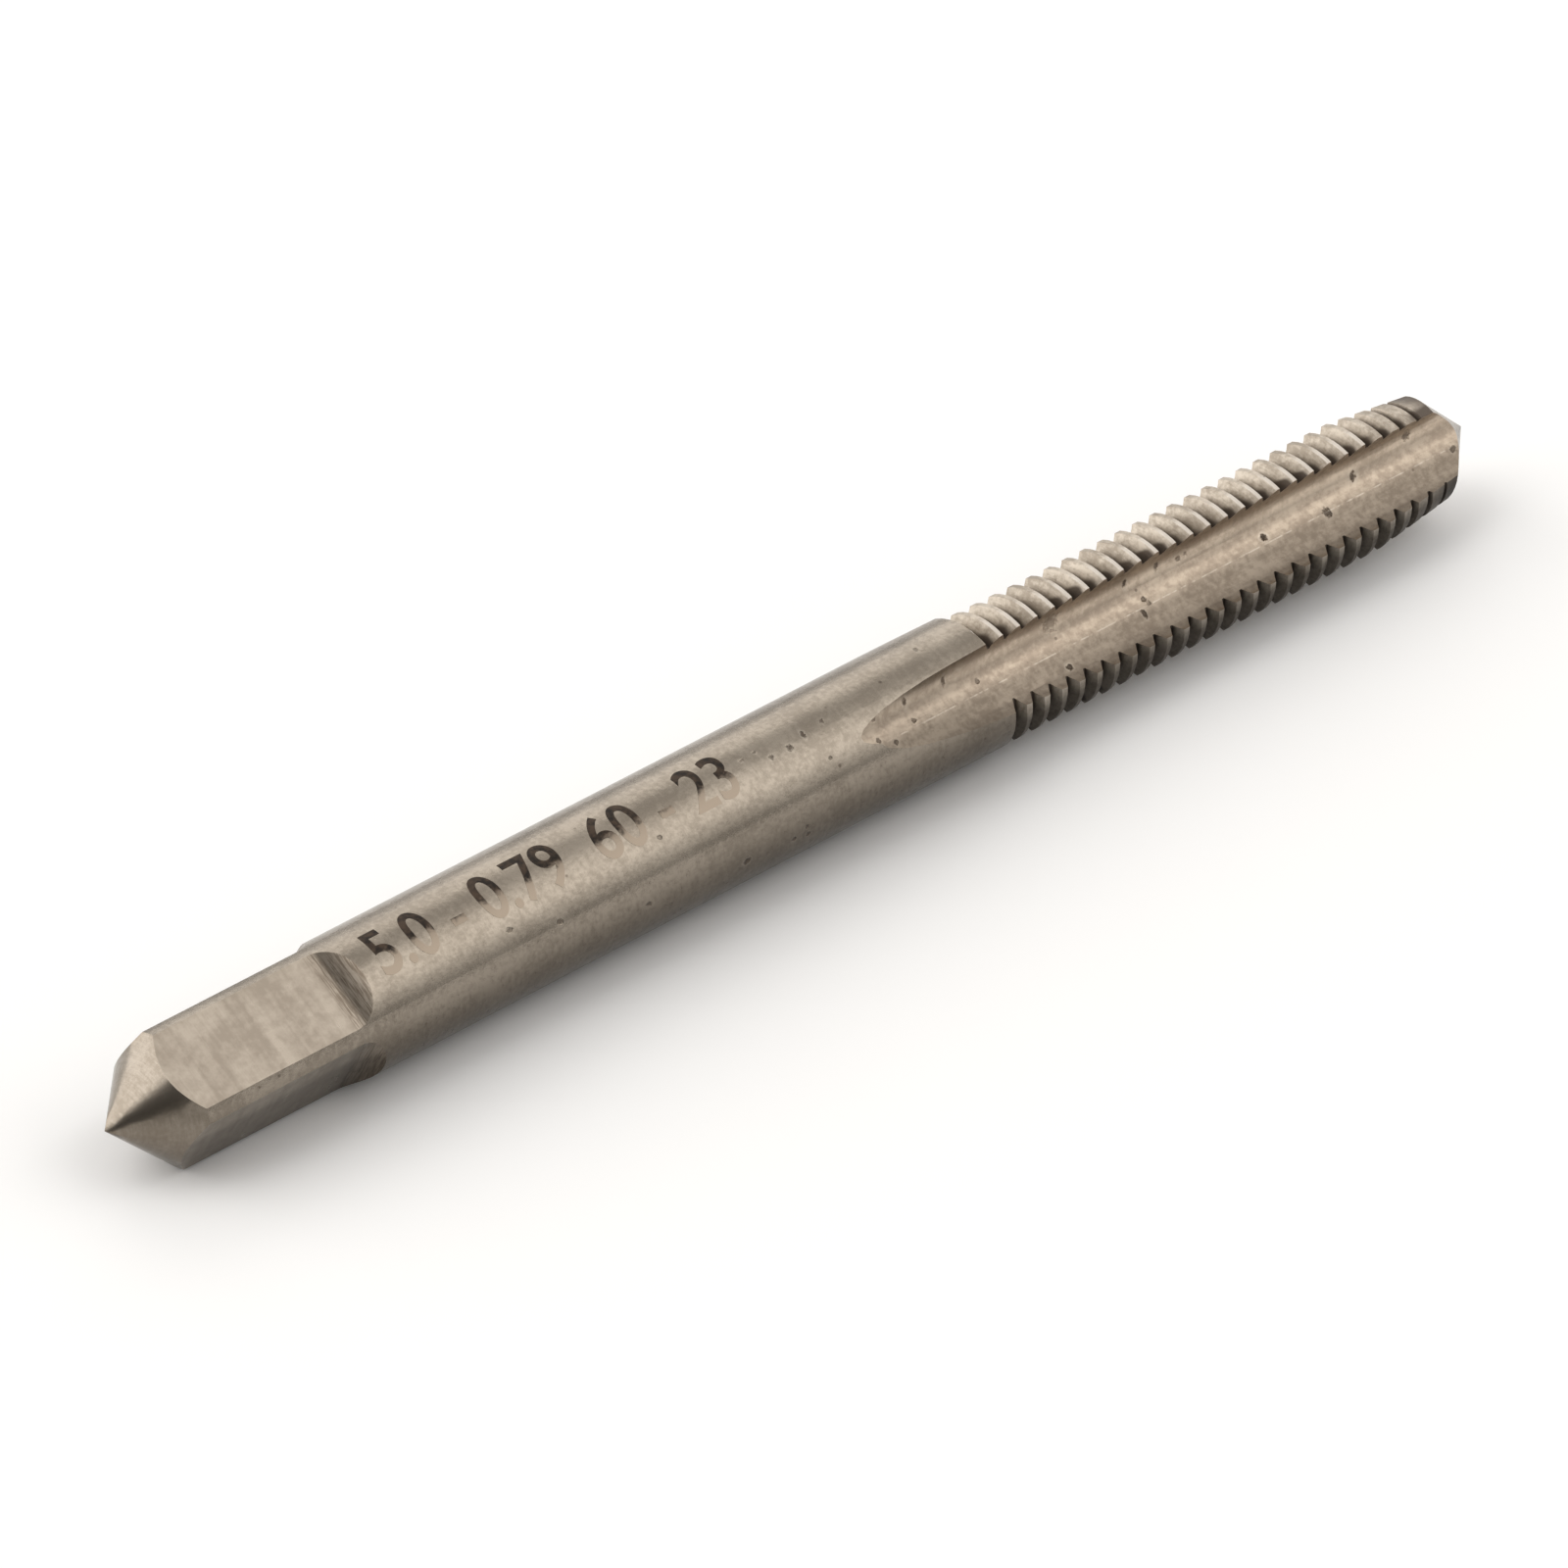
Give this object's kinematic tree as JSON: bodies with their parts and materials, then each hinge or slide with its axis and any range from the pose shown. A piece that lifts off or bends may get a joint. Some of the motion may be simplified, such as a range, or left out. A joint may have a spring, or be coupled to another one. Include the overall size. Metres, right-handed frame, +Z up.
{
  "type": "thread tap",
  "caption": "Straight-flute hand tap for cutting internal threads, with a ground shank, a drive square, a tapered lead and a point at each end.",
  "frame": {"origin": "middle of the tap's length and width, on the surface that it lies on", "axes": "+X along the tap towards its cutting point, +Z up, +Y across"},
  "size_m": [0.0603, 0.005, 0.0049],
  "materials": {
    "steel": "ground high-speed steel, satin"
  },
  "bodies": {
    "root": {"tap": "steel"}
  },
  "joints": []
}
